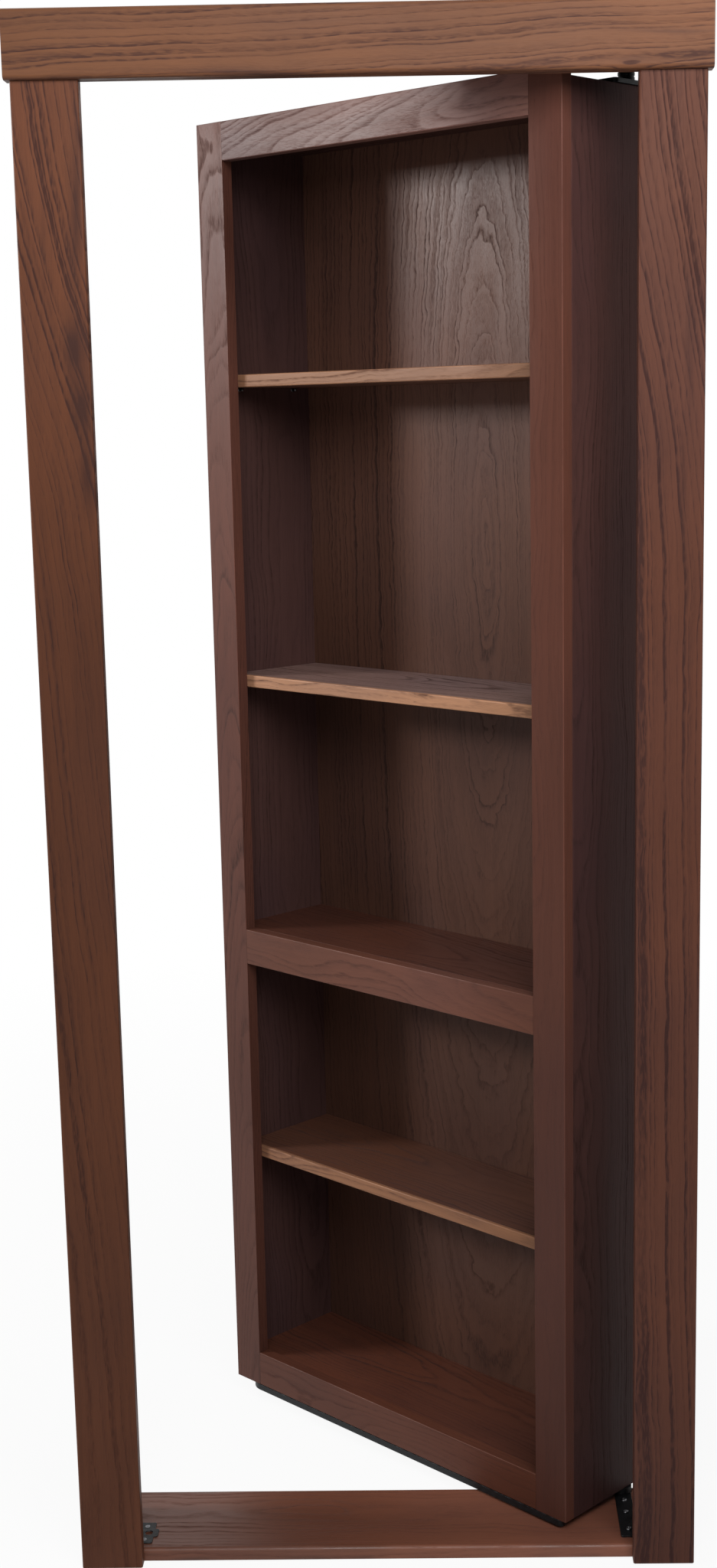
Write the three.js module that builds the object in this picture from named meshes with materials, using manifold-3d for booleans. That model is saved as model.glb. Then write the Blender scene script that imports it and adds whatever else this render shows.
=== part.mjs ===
// A bookcase that is also a door. It turns on two pivots inside a cased opening and swings into the
// room behind. Lengths are millimetres. X runs to the right as seen from the front, Y away from the
// viewer and Z up. Y = 0 is the back of the casing, and the origin is on the floor, in the middle of
// the opening. The bookcase is drawn as if closed, then turned open about its pivots.
import * as THREE from "three";
import { mergeVertices } from "three/addons/utils/BufferGeometryUtils.js";
import Module from "manifold-3d";

const wasm = await Module();
wasm.setup();

// Room between pieces that meet, and how far a cutting shape runs past what it cuts.
const gap = 0.3;
const overrun = 2;
const weldDistance = 0.001;

// The cased opening: two flat legs, a thicker header, the jambs behind them and the sill.
const openingWidth = 708;
const openingHeight = 2050;
const casingWidth = 87;
const casingThick = 19;
const casingRound = 3;
const headerHeight = 86;
const headerThick = 28.5;
const headerOverhang = 6.5;
const headerRound = 6;
const jambThick = 19;
const jambReveal = 30;
const jambClearOfPivot = 33;
const sillThick = 19;
const sillDepth = 163;
const sillRound = 7;

// The bookcase and how it sits in the opening.
const coverLap = 8;
const faceSetBack = 3.5;
const floorRoom = 14;
const headRoom = 12;
const caseTopDrop = 12;
const openDegrees = 43.2;
const frameThick = 19;
const railWidth = 57;
const frameRound = 1.5;
const panelThick = 19;
const sideDepth = 184;
const backThick = 6;
const housingDepth = 6;
const bottomDrop = 6;
const bearerWidth = 38;
const bearerSetIn = 3;

// Shelf heights, as shares of the face frame's height.
const fixedShelfShare = 0.3867;
const looseShelfNames = ["lower_shelf", "second_shelf", "upper_shelf"];
const looseShelfShares = [0.2044, 0.5885, 0.817];
const shelfPlay = 1.5;
const shelfRound = 2;

// Shelf pins: a shaft with a thin collar against the side.
const pegRadius = 2.5;
const pegBuried = 8;
const pegReach = 9;
const collarRadius = 3.6;
const collarThick = 0.9;
const pegSetIn = 35;

// The pivots, their plates and bearings.
const pivotInset = 10;
const pivotFromSillBack = 14;
const pivotRadius = 5;
const barWidth = 25;
const barThick = 3;
const barSetBack = 20;
const barEndRound = 12;
const barFrontRound = 3;
const washerRadius = 11.5;
const washerThick = 2.6;
const bearingRadius = 11.5;
const bearingHeight = 10.5;
const headPlateThick = 3;
const headPlateWidth = 50;
const headPlateLength = 60;
const headPlatePastPivot = 11;
const topPlateThick = 6;
const topPlateWidth = 60;
const topPlateLength = 80;
const plateCornerRound = 6;
const upperPinRise = 2;
const lowerPinSink = 0.7;

// The steel plate under the bookcase, with a tab at its front right corner and an ear at the pivot.
const basePlateThick = 10;
const basePlateRearInset = 13;
const basePlateLeftInset = 25;
const basePlateRightInset = 20;
const basePlateRound = 30;
const basePlateRearRound = 12;
const tabReach = 11;
const tabDepth = 20;
const tabRound = 8;
const earRadius = 14;

// Screws: pan heads hold the plates, flat heads lie flush where something passes over them.
const shankRadius = 2;
const panHeadRadius = 4;
const panHeadHeight = 2.4;
const shortScrewLength = 17;
const plateScrewLength = 21;
const flatHeadRadius = 3.6;
const flatHeadHeight = 1.6;
const strikeScrewLength = 14;
const heavyShankRadius = 2.5;
const heavyHeadRadius = 5.2;
const heavyHeadHeight = 3;
const heavyScrewLength = 30;
const screwTipLength = 3;
const crownHeightShare = 0.6;
const crownRadiusShare = 0.7;
const barScrewShares = [0.13, 0.47, 0.71];
const basePlateScrewShares = [0.12, 0.88];
const headPlateScrewInset = 11;
const topPlateScrewSetIn = 16;

// The ball catch under the left side and the strike plate that it drops into.
const ballRadius = 6;
const barrelRadius = 7;
const barrelWall = 0.7;
const barrelLength = 41;
const barrelLip = 0.7;
const barrelLipThick = 0.6;
const barrelFlangeRadius = 9;
const barrelFlangeThick = 2.5;
const barrelAboveStrike = 0.5;
const ballAboveStrike = 0.3;
const catchSetBack = 39;
const catchInset = 9.5;
const strikeWidth = 25;
const strikeLength = 57;
const strikeThick = 1.5;
const strikeRound = 3;
const strikeOffset = 4.5;
const strikeHoleRadius = 5.5;
const strikeScrewSpacing = 36;
const lipLength = 22;
const lipReach = 6;
const lipRound = 4;
const boreRadius = 4.6;
const boreDepth = 2;
const springRadius = 4.6;
const springWire = 0.6;
const springTurns = 7;

// How finely round shapes are divided.
const roundSteps = 3;
const shaftSides = 20;
const screwSides = 12;
const ballSides = 16;
const ballRings = 12;
const springStepsPerTurn = 10;
const springSides = 5;

// Places worked out from the sizes above.
const halfOpening = openingWidth / 2;
const casingOuter = halfOpening + casingWidth;
const jambFace = halfOpening + jambReveal;
const headUnderside = openingHeight + jambReveal;
const caseRight = halfOpening + coverLap;
const pivotX = caseRight - pivotInset;
const pivotY = sillDepth - pivotFromSillBack;
const jambDepth = pivotY - jambClearOfPivot;
const frameBottom = sillThick + floorRoom;
const frameTop = headUnderside - headRoom;
const frameHeight = frameTop - frameBottom;
const caseTop = frameTop - caseTopDrop;
const faceBack = faceSetBack + frameThick;
const caseFront = faceBack + gap;
const caseBack = faceBack + sideDepth;
const sideInner = caseRight - panelThick;
const bottomPanelTop = frameBottom + railWidth - bottomDrop;
const fixedShelfTop = frameBottom + frameHeight * fixedShelfShare;
const barTop = sillThick + barThick;
const basePlateTop = frameBottom - gap;
const basePlateBottom = basePlateTop - basePlateThick;
const basePlateBack = caseBack - basePlateRearInset;
const strikeTop = sillThick + strikeThick;
const catchX = -caseRight + catchInset;
const catchY = faceSetBack + catchSetBack;
const ballLow = strikeTop + ballAboveStrike;
const ballCentre = ballLow + ballRadius;
const barrelBottom = strikeTop + barrelAboveStrike;
const barrelTop = barrelBottom + barrelLength;

// Colours: stained oak in a few shades, blackened steel, plain steel and brass.
const casingOak = new THREE.MeshStandardMaterial({ color: 0x6f4431, roughness: 0.42, metalness: 0 });
const frameOak = new THREE.MeshStandardMaterial({ color: 0x5a3226, roughness: 0.45, metalness: 0 });
const caseOak = new THREE.MeshStandardMaterial({ color: 0x42241d, roughness: 0.5, metalness: 0 });
const backOak = new THREE.MeshStandardMaterial({ color: 0x4a2b22, roughness: 0.5, metalness: 0 });
const shelfOak = new THREE.MeshStandardMaterial({ color: 0x6a3d2a, roughness: 0.45, metalness: 0 });
const blackSteel = new THREE.MeshStandardMaterial({ color: 0x1d1f22, roughness: 0.5, metalness: 0.8 });
const plainSteel = new THREE.MeshStandardMaterial({ color: 0x9a9ba0, roughness: 0.35, metalness: 1 });
const brass = new THREE.MeshStandardMaterial({ color: 0xa98747, roughness: 0.35, metalness: 1 });

// Named meshes, and the shapes that they are made from.
function piece(name, geometry, material, x = 0, y = 0, z = 0) {
  const mesh = new THREE.Mesh(geometry, material);
  mesh.name = name;
  mesh.position.set(x, y, z);
  return mesh;
}

// A rectangle from the origin, with a radius for each corner, anticlockwise from the origin's.
function roundedOutline(width, height, [first, second, third, fourth]) {
  const outline = new THREE.Shape();
  outline.moveTo(first, 0);
  outline.lineTo(width - second, 0);
  if (second) outline.absarc(width - second, second, second, -Math.PI / 2, 0);
  outline.lineTo(width, height - third);
  if (third) outline.absarc(width - third, height - third, third, 0, Math.PI / 2);
  outline.lineTo(fourth, height);
  if (fourth) outline.absarc(fourth, height - fourth, fourth, Math.PI / 2, Math.PI);
  outline.lineTo(0, first);
  if (first) outline.absarc(first, first, first, Math.PI, Math.PI * 1.5);
  return outline;
}

// A straight board between two corners, its length along one axis. The radii round its long edges,
// anticlockwise round the end from the edge with the two smallest coordinates.
const axisNames = "xyz";
const unitAxes = [new THREE.Vector3(1, 0, 0), new THREE.Vector3(0, 1, 0), new THREE.Vector3(0, 0, 1)];
const squareEdges = [0, 0, 0, 0];

function board(name, material, low, high, along, radii = squareEdges) {
  const length = axisNames.indexOf(along);
  const across = (length + 1) % axisNames.length;
  const up = (length + 2) % axisNames.length;
  const outline = roundedOutline(high[across] - low[across], high[up] - low[up], radii);
  const shape = { depth: high[length] - low[length], bevelEnabled: false, curveSegments: roundSteps };
  const geometry = new THREE.ExtrudeGeometry(outline, shape);
  const turn = new THREE.Matrix4().makeBasis(unitAxes[across], unitAxes[up], unitAxes[length]);
  geometry.applyMatrix4(turn);
  return piece(name, geometry, material, ...low);
}

// A block used to cut or join, between two corners.
function block(low, high) {
  const size = high.map((value, index) => value - low[index]);
  const geometry = new THREE.BoxGeometry(...size);
  return geometry.translate(...low.map((value, index) => value + size[index] / 2));
}

// A round bar between two points.
function rod(radius, from, to, sides) {
  const start = new THREE.Vector3(...from);
  const end = new THREE.Vector3(...to);
  const geometry = new THREE.CylinderGeometry(radius, radius, start.distanceTo(end), sides);
  const direction = end.clone().sub(start).normalize();
  const turn = new THREE.Quaternion().setFromUnitVectors(unitAxes[1], direction);
  geometry.applyQuaternion(turn);
  const middle = start.add(end).multiplyScalar(0.5);
  return geometry.translate(middle.x, middle.y, middle.z);
}

// An upright turned shape: the profile's points are radius and height.
function turned(profile, sides) {
  const points = profile.map(([radius, height]) => new THREE.Vector2(radius, height));
  return new THREE.LatheGeometry(points, sides).rotateX(Math.PI / 2);
}

// A ring with a round hole, standing on Z = 0.
function ring(outer, inner, height) {
  const profile = [[inner, 0], [outer, 0], [outer, height], [inner, height], [inner, 0]];
  return turned(profile, shaftSides);
}

// A screw with its point down. The head's underside, or a flat head's top, is at Z = 0.
function panScrew(length) {
  const crown = panHeadHeight * crownHeightShare;
  const crownRadius = panHeadRadius * crownRadiusShare;
  return turned([
    [0, -length],
    [shankRadius, -length + screwTipLength],
    [shankRadius, 0],
    [panHeadRadius, 0],
    [panHeadRadius, crown],
    [crownRadius, panHeadHeight],
    [0, panHeadHeight],
  ], screwSides);
}

function flatScrew(head, headHeight, shank, length) {
  return turned([
    [0, -length],
    [shank, -length + screwTipLength],
    [shank, -headHeight],
    [head, 0],
    [0, 0],
  ], screwSides);
}

// The hole that a flat screw sits in, kept clear of it all round.
function flatScrewHole(head, headHeight, shank, length) {
  return turned([
    [0, -length - gap],
    [shank + gap, -length - gap],
    [shank + gap, -headHeight],
    [head + gap, 0],
    [head + gap, overrun],
    [0, overrun],
  ], screwSides);
}

// Solids that can be cut and joined, and back again.
function solidOf(geometry) {
  const bare = geometry.index ? geometry.toNonIndexed() : geometry.clone();
  bare.deleteAttribute("normal");
  bare.deleteAttribute("uv");
  const welded = mergeVertices(bare, weldDistance);
  return new wasm.Manifold(new wasm.Mesh({
    numProp: 3,
    vertProperties: welded.attributes.position.array,
    triVerts: new Uint32Array(welded.index.array),
  }));
}

function geometryOf(solid) {
  const mesh = solid.getMesh();
  const geometry = new THREE.BufferGeometry();
  geometry.setAttribute("position", new THREE.BufferAttribute(mesh.vertProperties, 3));
  geometry.setIndex(new THREE.BufferAttribute(mesh.triVerts, 1));
  const flat = geometry.toNonIndexed();
  flat.computeVertexNormals();
  return flat;
}

// Cuts shapes out of a mesh, both given in the frame that the mesh is placed in.
function cutFrom(mesh, shapes) {
  const { x, y, z } = mesh.position;
  let solid = solidOf(mesh.geometry);
  for (const shape of shapes) {
    solid = solid.subtract(solidOf(shape.clone().translate(-x, -y, -z)));
  }
  mesh.geometry = geometryOf(solid);
}

function joined(shapes) {
  return shapes.map(solidOf).reduce((whole, next) => whole.add(next));
}

// Casing: two legs that stand on the floor and a header that reaches past them.
function casing() {
  const frontRounded = [casingRound, casingRound, 0, 0];
  const leftLow = [-casingOuter, -casingThick, 0];
  const leftHigh = [-halfOpening, 0, openingHeight];
  const rightLow = [halfOpening, -casingThick, 0];
  const rightHigh = [casingOuter, 0, openingHeight];
  const headerEnd = casingOuter + headerOverhang;
  const headerLow = [-headerEnd, -headerThick, openingHeight];
  const headerHigh = [headerEnd, 0, openingHeight + headerHeight];
  const headerRounded = [headerRound, 0, 0, headerRound];
  return [
    board("left_casing", casingOak, leftLow, leftHigh, "z", frontRounded),
    board("right_casing", casingOak, rightLow, rightHigh, "z", frontRounded),
    board("header_casing", casingOak, headerLow, headerHigh, "x", headerRounded),
  ];
}

// Jambs and sill. The head jamb and the sill run back past the side jambs to carry the pivots.
function jambs() {
  const outer = jambFace + jambThick;
  const leftJamb = board("left_jamb", caseOak, [-outer, 0, 0], [-jambFace, jambDepth, headUnderside], "z");
  const rightJamb = board("right_jamb", caseOak, [jambFace, 0, 0], [outer, jambDepth, headUnderside], "z");
  const headLow = [-outer, 0, headUnderside];
  const headHigh = [outer, sillDepth, headUnderside + jambThick];
  const headJamb = board("head_jamb", caseOak, headLow, headHigh, "x");
  const sillHigh = [jambFace, sillDepth, sillThick];
  const sill = board("sill", frameOak, [-jambFace, 0, 0], sillHigh, "x", [0, 0, 0, sillRound]);
  return { leftJamb, rightJamb, headJamb, sill };
}

// The bar on the sill that carries the lower pivot pin, with its three screws.
function lowerPivot(sill) {
  const barEnd = pivotY + barWidth / 2;
  const barLength = barEnd - barSetBack;
  const low = [pivotX - barWidth / 2, barSetBack, sillThick];
  const high = [pivotX + barWidth / 2, barEnd, barTop];
  const rounds = [barFrontRound, barFrontRound, barEndRound, barEndRound];
  const bar = board("sill_pivot_bar", blackSteel, low, high, "z", rounds);
  const pinTop = basePlateTop - lowerPinSink;
  const pin = rod(pivotRadius, [0, 0, sillThick], [0, 0, pinTop], shaftSides);
  const pinHole = rod(
    pivotRadius + gap,
    [pivotX, pivotY, sillThick - overrun],
    [pivotX, pivotY, barTop + overrun],
    shaftSides,
  );
  const places = barScrewShares.map((share) => barSetBack + barLength * share);
  const screws = places.map((y, index) => {
    return piece("bar_screw_" + (index + 1), panScrew(shortScrewLength), plainSteel, pivotX, y, barTop);
  });
  const screwHoles = places.map((y) => {
    const bottom = [pivotX, y, barTop - shortScrewLength - gap];
    return rod(shankRadius + gap, bottom, [pivotX, y, barTop + overrun], screwSides);
  });
  cutFrom(bar, [pinHole, ...screwHoles]);
  cutFrom(sill, screwHoles);
  return [bar, piece("lower_pivot_pin", pin, plainSteel, pivotX, pivotY, 0), ...screws];
}

// The plate under the head jamb, the pin that hangs from it and its two screws.
function upperPivot(headJamb) {
  const plateBottom = headUnderside - headPlateThick;
  const rear = pivotY + headPlatePastPivot;
  const low = [pivotX - headPlateWidth / 2, rear - headPlateLength, plateBottom];
  const high = [pivotX + headPlateWidth / 2, rear, headUnderside];
  const rounds = [plateCornerRound, plateCornerRound, plateCornerRound, plateCornerRound];
  const plate = board("head_pivot_plate", blackSteel, low, high, "z", rounds);
  const pinBottom = caseTop + upperPinRise;
  const pin = rod(pivotRadius, [0, 0, pinBottom], [0, 0, headUnderside], shaftSides);
  const pinHole = rod(
    pivotRadius + gap,
    [pivotX, pivotY, plateBottom - overrun],
    [pivotX, pivotY, headUnderside + overrun],
    shaftSides,
  );
  const y = low[1] + headPlateScrewInset;
  const places = [low[0] + headPlateScrewInset, high[0] - headPlateScrewInset];
  const screws = places.map((x, index) => {
    const screw = piece("head_plate_screw_" + (index + 1), panScrew(shortScrewLength), plainSteel);
    screw.position.set(x, y, plateBottom);
    screw.rotation.x = Math.PI;
    return screw;
  });
  const screwHoles = places.map((x) => {
    const top = [x, y, plateBottom + shortScrewLength + gap];
    return rod(shankRadius + gap, [x, y, plateBottom - overrun], top, screwSides);
  });
  cutFrom(plate, [pinHole, ...screwHoles]);
  cutFrom(headJamb, screwHoles);
  return [plate, piece("upper_pivot_pin", pin, plainSteel, pivotX, pivotY, 0), ...screws];
}

// The strike plate on the sill: a hole for the catch's ball, two flush screws and a lip.
function strike(sill) {
  const centreX = catchX - strikeOffset;
  const low = [centreX - strikeWidth / 2, catchY - strikeLength / 2, sillThick];
  const high = [centreX + strikeWidth / 2, catchY + strikeLength / 2, strikeTop];
  const rounds = [strikeRound, strikeRound, strikeRound, strikeRound];
  const flat = board("strike_flat", blackSteel, low, high, "z", rounds);
  const lipLow = [high[0] - lipRound, catchY - lipLength / 2, sillThick];
  const lipHigh = [high[0] + lipReach, catchY + lipLength / 2, strikeTop];
  const lip = board("strike_lip", blackSteel, lipLow, lipHigh, "z", [0, lipRound, lipRound, 0]);
  const shapes = [flat, lip].map((part) => part.geometry.clone().translate(...part.position));
  const plate = piece("strike_plate", geometryOf(joined(shapes)), blackSteel);
  const ballHole = rod(
    strikeHoleRadius,
    [catchX, catchY, sillThick - overrun],
    [catchX, catchY, strikeTop + overrun],
    shaftSides,
  );
  const bore = rod(
    boreRadius,
    [catchX, catchY, sillThick - boreDepth],
    [catchX, catchY, sillThick + overrun],
    shaftSides,
  );
  const places = [catchY - strikeScrewSpacing / 2, catchY + strikeScrewSpacing / 2];
  const sizes = [flatHeadRadius, flatHeadHeight, shankRadius, strikeScrewLength];
  const screws = places.map((y, index) => {
    return piece("strike_screw_" + (index + 1), flatScrew(...sizes), plainSteel, centreX, y, strikeTop);
  });
  const screwHoles = places.map((y) => flatScrewHole(...sizes).translate(centreX, y, strikeTop));
  cutFrom(plate, [ballHole, ...screwHoles]);
  cutFrom(sill, [bore, ...screwHoles]);
  return [plate, ...screws];
}

// Face frame: two full-height stiles with three rails between them.
function faceFrame() {
  const stileInner = caseRight - railWidth;
  const frontRounded = [frameRound, frameRound, 0, 0];
  const railRounded = [frameRound, 0, 0, frameRound];
  const stile = (name, left) => {
    const low = [left, faceSetBack, frameBottom];
    const high = [left + railWidth, faceBack, frameTop];
    return board(name, frameOak, low, high, "z", frontRounded);
  };
  const rail = (name, top) => {
    const low = [-stileInner + gap, faceSetBack, top - railWidth];
    return board(name, frameOak, low, [stileInner - gap, faceBack, top], "x", railRounded);
  };
  return [
    stile("left_stile", -caseRight),
    stile("right_stile", stileInner),
    rail("top_rail", frameTop),
    rail("middle_rail", fixedShelfTop),
    rail("bottom_rail", frameBottom + railWidth),
  ];
}

// A panel housed in grooves in both sides, and the two grooves as cutting shapes.
function housedPanel(name, top) {
  const end = sideInner + housingDepth - gap;
  const low = [-end, caseFront, top - panelThick];
  const panel = board(name, caseOak, low, [end, caseBack - gap, top], "x");
  const grooves = [-1, 1].map((side) => {
    const inner = side * (sideInner - overrun);
    const outer = side * (sideInner + housingDepth);
    const grooveLow = [Math.min(inner, outer), caseFront - overrun, low[2] - gap];
    const grooveHigh = [Math.max(inner, outer), caseBack + overrun, top + gap];
    return block(grooveLow, grooveHigh);
  });
  return { panel, grooves };
}

// A loose shelf on four pins, and the holes that the pins sit in.
function looseShelf(name, share) {
  const top = frameBottom + frameHeight * share;
  const end = sideInner - shelfPlay;
  const front = caseFront + gap;
  const back = caseBack - gap * 2;
  const low = [-end, front, top - panelThick];
  const shelf = board(name, shelfOak, low, [end, back, top], "x", [shelfRound, 0, 0, shelfRound]);
  const pegZ = low[2] - gap - pegRadius;
  const pins = [];
  const holes = [];
  for (const side of [-1, 1]) {
    for (const y of [front + pegSetIn, back - pegSetIn]) {
      const pin = piece(name + "_pin_" + (pins.length + 1), shelfPin(), plainSteel);
      pin.position.set(side * sideInner, y, pegZ);
      pin.rotation.y = side > 0 ? -Math.PI / 2 : Math.PI / 2;
      pins.push(pin);
      const from = [side * (sideInner - overrun), y, pegZ];
      const to = [side * (sideInner + pegBuried + gap), y, pegZ];
      holes.push(rod(pegRadius + gap, from, to, screwSides));
    }
  }
  return { shelf, pins, holes };
}

// A shelf pin along Z: buried below Z = 0, with its collar just clear of the side.
function shelfPin() {
  return turned([
    [0, -pegBuried],
    [pegRadius, -pegBuried],
    [pegRadius, gap],
    [collarRadius, gap],
    [collarRadius, gap + collarThick],
    [pegRadius, gap + collarThick],
    [pegRadius, pegReach],
    [0, pegReach],
  ], screwSides);
}

// The case: sides, top, bottom, fixed shelf, back and the two bearers under the bottom panel.
function caseParts() {
  const sideLow = [-caseRight, caseFront, frameBottom];
  const leftSide = board("left_side", caseOak, sideLow, [-sideInner, caseBack, caseTop], "z");
  const rightLow = [sideInner, caseFront, frameBottom];
  const rightSide = board("right_side", caseOak, rightLow, [caseRight, caseBack, caseTop], "z");
  const backLow = [-caseRight, caseBack + gap, frameBottom];
  const backPanel = board("back_panel", backOak, backLow, [caseRight, caseBack + backThick, caseTop], "z");
  const top = housedPanel("top_panel", caseTop);
  const bottom = housedPanel("bottom_panel", bottomPanelTop);
  const fixed = housedPanel("fixed_shelf", fixedShelfTop);
  cutFrom(leftSide, [top.grooves[0], bottom.grooves[0], fixed.grooves[0]]);
  cutFrom(rightSide, [top.grooves[1], bottom.grooves[1], fixed.grooves[1]]);
  const bearerTop = bottomPanelTop - panelThick - gap;
  const bearer = (name, front) => {
    const low = [-sideInner + gap, front, frameBottom];
    return board(name, caseOak, low, [sideInner - gap, front + bearerWidth, bearerTop], "x");
  };
  return {
    leftSide,
    rightSide,
    backPanel,
    topPanel: top.panel,
    bottomPanel: bottom.panel,
    fixedShelf: fixed.panel,
    frontBearer: bearer("front_bearer", caseFront),
    rearBearer: bearer("rear_bearer", basePlateBack - bearerSetIn - bearerWidth),
  };
}

// The steel plate under the case. It takes the weight at the ear, on the washer round the pin.
function basePlate(frontBearer, rearBearer) {
  const left = -caseRight + basePlateLeftInset;
  const right = caseRight - basePlateRightInset;
  const width = right - left;
  const low = [left, faceSetBack, basePlateBottom];
  const high = [right, basePlateBack, basePlateTop];
  const rounds = [basePlateRound, 0, basePlateRearRound, basePlateRearRound];
  const main = board("plate_main", blackSteel, low, high, "z", rounds);
  const tabLow = [right - tabRound, faceSetBack, basePlateBottom];
  const tabHigh = [right + tabReach, faceSetBack + tabDepth, basePlateTop];
  const tab = board("plate_tab", blackSteel, tabLow, tabHigh, "z", [0, tabRound, tabRound, 0]);
  const shapes = [main, tab].map((part) => part.geometry.clone().translate(...part.position));
  const earBottom = [pivotX, pivotY, basePlateBottom];
  shapes.push(rod(earRadius, earBottom, [pivotX, pivotY, basePlateTop], shaftSides));
  const earRootLow = [right - overrun, pivotY - earRadius, basePlateBottom];
  shapes.push(block(earRootLow, [pivotX, pivotY + earRadius, basePlateTop]));
  const plate = piece("base_plate", geometryOf(joined(shapes)), blackSteel);
  const washerTop = barTop + gap + washerThick;
  const below = [pivotX, pivotY, basePlateBottom - overrun];
  const pinHole = rod(pivotRadius + gap, below, [pivotX, pivotY, basePlateTop + overrun], shaftSides);
  const washerSeat = rod(washerRadius + gap, below, [pivotX, pivotY, washerTop + gap], shaftSides);
  const washer = ring(washerRadius, pivotRadius + gap, washerThick);
  const sizes = [heavyHeadRadius, heavyHeadHeight, heavyShankRadius, heavyScrewLength];
  const places = [];
  for (const bearer of [frontBearer, rearBearer]) {
    for (const share of basePlateScrewShares) {
      places.push([left + width * share, bearer.position.y + bearerWidth / 2]);
    }
  }
  const screws = places.map(([x, y], index) => {
    const screw = piece("base_plate_screw_" + (index + 1), flatScrew(...sizes), plainSteel);
    screw.position.set(x, y, basePlateBottom);
    screw.rotation.x = Math.PI;
    return screw;
  });
  const screwHoles = places.map(([x, y]) => {
    return flatScrewHole(...sizes).rotateX(Math.PI).translate(x, y, basePlateBottom);
  });
  cutFrom(plate, [pinHole, washerSeat, ...screwHoles]);
  cutFrom(frontBearer, screwHoles.slice(0, 2));
  cutFrom(rearBearer, screwHoles.slice(2));
  const thrustWasher = piece("lower_thrust_washer", washer, plainSteel, pivotX, pivotY, barTop + gap);
  return [plate, thrustWasher, ...screws];
}

// The plate on top of the case, the bearing that the upper pin turns in and its two screws.
function topPivot(topPanel) {
  const bottom = caseTop + gap;
  const right = pivotX + earRadius;
  const low = [right - topPlateWidth, pivotY - topPlateLength / 2, bottom];
  const high = [right, pivotY + topPlateLength / 2, bottom + topPlateThick];
  const rounds = [plateCornerRound, plateCornerRound, plateCornerRound, plateCornerRound];
  const plate = board("top_pivot_plate", blackSteel, low, high, "z", rounds);
  const pinHole = rod(
    pivotRadius + gap,
    [pivotX, pivotY, bottom - overrun],
    [pivotX, pivotY, high[2] + overrun],
    shaftSides,
  );
  const x = low[0] + topPlateScrewSetIn;
  const seat = high[2] + gap;
  const places = [low[1] + topPlateScrewSetIn, high[1] - topPlateScrewSetIn];
  const screws = places.map((y, index) => {
    return piece("top_plate_screw_" + (index + 1), panScrew(plateScrewLength), plainSteel, x, y, seat);
  });
  const screwHoles = places.map((y) => {
    const tip = [x, y, seat - plateScrewLength - gap];
    return rod(shankRadius + gap, tip, [x, y, seat + overrun], screwSides);
  });
  cutFrom(plate, [pinHole, ...screwHoles]);
  cutFrom(topPanel, screwHoles);
  const bearingShape = ring(bearingRadius, pivotRadius + gap, bearingHeight);
  const bearing = piece("upper_bearing", bearingShape, blackSteel, pivotX, pivotY, seat);
  return [plate, bearing, ...screws];
}

// The coil of the catch's spring, as a path for its wire.
class SpringPath extends THREE.Curve {
  constructor(radius, height, turns) {
    super();
    this.radius = radius;
    this.height = height;
    this.turns = turns;
  }

  getPoint(t, target = new THREE.Vector3()) {
    const angle = t * this.turns * Math.PI * 2;
    return target.set(this.radius * Math.cos(angle), this.radius * Math.sin(angle), this.height * t);
  }
}

// The ball catch in the bottom edge of the left side: barrel, spring and ball.
function ballCatch(leftSide) {
  const inner = barrelRadius - barrelWall;
  const lipInner = inner - barrelLip;
  const roof = barrelLength - barrelWall * 2;
  const flangeTop = frameBottom - gap - barrelBottom;
  const barrelShape = turned([
    [lipInner, 0],
    [barrelRadius, 0],
    [barrelRadius, flangeTop - barrelFlangeThick],
    [barrelFlangeRadius, flangeTop - barrelFlangeThick],
    [barrelFlangeRadius, flangeTop],
    [barrelRadius, flangeTop],
    [barrelRadius, barrelLength],
    [0, barrelLength],
    [0, roof],
    [inner, roof],
    [inner, barrelLipThick],
    [lipInner, barrelLipThick],
    [lipInner, 0],
  ], shaftSides);
  const barrel = piece("catch_barrel", barrelShape, brass, catchX, catchY, barrelBottom);
  const socket = rod(
    barrelRadius + gap,
    [catchX, catchY, frameBottom - overrun],
    [catchX, catchY, barrelTop + gap],
    shaftSides,
  );
  cutFrom(leftSide, [socket]);
  const springBottom = ballCentre + ballRadius + gap + springWire;
  const springTop = barrelBottom + roof - gap - springWire;
  const path = new SpringPath(springRadius, springTop - springBottom, springTurns);
  const section = new THREE.Shape().absarc(0, 0, springWire, 0, Math.PI * 2);
  const springShape = new THREE.ExtrudeGeometry(section, {
    steps: springTurns * springStepsPerTurn,
    curveSegments: springSides,
    extrudePath: path,
  });
  const spring = piece("catch_spring", springShape, plainSteel, catchX, catchY, springBottom);
  const ballShape = new THREE.SphereGeometry(ballRadius, ballSides, ballRings).rotateX(Math.PI / 2);
  const ball = piece("catch_ball", ballShape, plainSteel, catchX, catchY, ballCentre);
  return [barrel, spring, ball];
}

// The door frame stays as it is.
const doorFrame = new THREE.Group();
const { leftJamb, rightJamb, headJamb, sill } = jambs();
doorFrame.add(leftJamb, rightJamb, headJamb, sill, ...casing());
doorFrame.add(...lowerPivot(sill), ...upperPivot(headJamb), ...strike(sill));

// The bookcase, drawn closed.
const parts = caseParts();
const shelfSets = looseShelfNames.map((name, index) => looseShelf(name, looseShelfShares[index]));
for (const { holes } of shelfSets) {
  cutFrom(parts.leftSide, holes.slice(0, 2));
  cutFrom(parts.rightSide, holes.slice(2));
}
const closedBookcase = new THREE.Group();
closedBookcase.add(...basePlate(parts.frontBearer, parts.rearBearer));
closedBookcase.add(...topPivot(parts.topPanel), ...ballCatch(parts.leftSide));
closedBookcase.add(...Object.values(parts), ...faceFrame());
for (const { shelf, pins } of shelfSets) closedBookcase.add(shelf, ...pins);

// Turned open about the pivots: seen from above, clockwise.
closedBookcase.position.set(-pivotX, -pivotY, 0);
const bookcase = new THREE.Group();
bookcase.add(closedBookcase);
bookcase.position.set(pivotX, pivotY, 0);
bookcase.rotation.z = -THREE.MathUtils.degToRad(openDegrees);

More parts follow.
